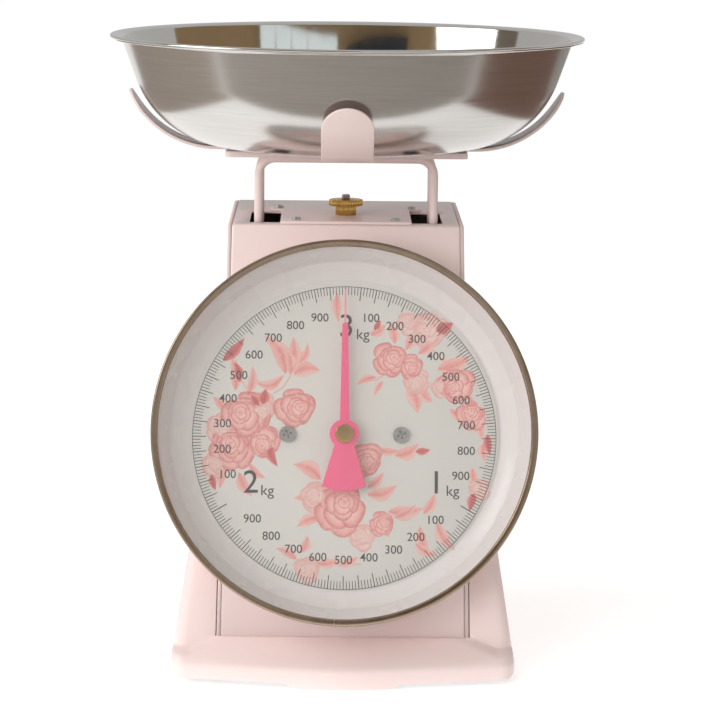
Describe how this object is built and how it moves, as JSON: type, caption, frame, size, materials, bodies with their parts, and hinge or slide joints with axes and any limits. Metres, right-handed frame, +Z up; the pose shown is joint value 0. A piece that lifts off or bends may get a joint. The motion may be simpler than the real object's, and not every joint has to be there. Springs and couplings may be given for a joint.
{
  "type": "kitchen scale",
  "caption": "Spring kitchen scale with a leaning round dial, a flared sheet-metal body, a yoke with curved carrier arms and a lift-off steel bowl.",
  "frame": {"origin": "on the surface it stands on, under the axis of the bowl", "axes": "+Z up, the dial faces -Y, +X to the right of someone reading the dial"},
  "size_m": [0.23, 0.23, 0.2988],
  "materials": {
    "bowl_steel": "brushed outside, polished inside",
    "pink_enamel": "gloss powder coat, pale pink",
    "zinc_steel": "zinc plated",
    "spring_steel": "oiled spring wire",
    "brass": "turned and knurled",
    "foot_rubber": "matt",
    "drum_enamel": "gloss pink enamel",
    "white_enamel": "satin white enamel",
    "dial_print": "satin, printed scale and flowers",
    "lens_glass": "clear",
    "bezel_chrome": "polished",
    "pointer_paint": "gloss hot pink"
  },
  "bodies": {
    "housing": {"bridge_plate": "pink_enamel", "bridge_screws": "zinc_steel", "casing_front": "pink_enamel", "rear_cover": "pink_enamel", "casing_screws": "zinc_steel", "base_shell": "pink_enamel", "bottom_plate": "zinc_steel", "rubber_feet": "foot_rubber", "dial_drum": "drum_enamel", "dial_dish": "white_enamel", "dial_plate": "dial_print", "dial_screws": "zinc_steel", "lens": "lens_glass", "bezel": "bezel_chrome", "movement_front_plate": "zinc_steel", "movement_rear_plate": "zinc_steel", "movement_pillars": "zinc_steel", "pinion_bushes": "brass", "movement_spacers": "zinc_steel", "stay_bracket": "zinc_steel", "stay_pivot_pin": "zinc_steel"},
    "load": {"carrier_arms": "pink_enamel", "carrier_channel": "pink_enamel", "carrier_rivets": "pink_enamel", "yoke_front": "pink_enamel", "yoke_rear": "pink_enamel", "load_bar": "zinc_steel", "load_pin": "zinc_steel", "rack": "brass"},
    "bowl": {"bowl": "bowl_steel"},
    "stay_link": {"stay_link": "zinc_steel"},
    "adjuster": {"spring_hanger": "zinc_steel", "zero_stud": "zinc_steel", "spring_left": "spring_steel", "spring_right": "spring_steel"},
    "zero_nut": {"zero_nut": "brass"},
    "pointer": {"pointer": "pointer_paint", "pointer_cap": "brass", "pinion_shaft": "zinc_steel"}
  },
  "joints": [
    {"name": "load_travel", "type": "slide", "parent": "housing", "child": "load", "axis": [0, 0, -1], "range_m": [0, 0.01951], "stiffness_N_per_m": 1509, "springref_m": -0.006, "deforming": ["spring_left", "spring_right"]},
    {"name": "pointer_spin", "type": "hinge", "parent": "housing", "child": "pointer", "pos_m": [0, -0.05635, 0.1119], "axis": [0, 0.9659, -0.2588], "range_deg": [0, 361]},
    {"name": "stay_swing", "type": "hinge", "parent": "housing", "child": "stay_link", "pos_m": [0, 0.05991, 0.08164], "axis": [1, 0, 0], "range_deg": [0, 25.15]},
    {"name": "zero_nut_turn", "type": "hinge", "parent": "housing", "child": "zero_nut", "pos_m": [0, 0, 0.2125], "axis": [0, 0, 1], "range_deg": [-360, 360]},
    {"name": "zero_stud_slide", "type": "slide", "parent": "housing", "child": "adjuster", "axis": [0, 0, 1], "range_m": [-0.0008, 0.0008]},
    {"name": "bowl_lift", "type": "slide", "parent": "load", "child": "bowl", "axis": [0, 0, 1], "range_m": [0, 0.06]}
  ],
  "couplings": [
    {"joint": "pointer_spin", "follows": "load_travel", "rad_per_m": 321.98},
    {"joint": "stay_swing", "follows": "load_travel", "rad_per_m": 22.4},
    {"joint": "zero_nut_turn", "follows": "zero_stud_slide", "rad_per_m": 7854}
  ]
}
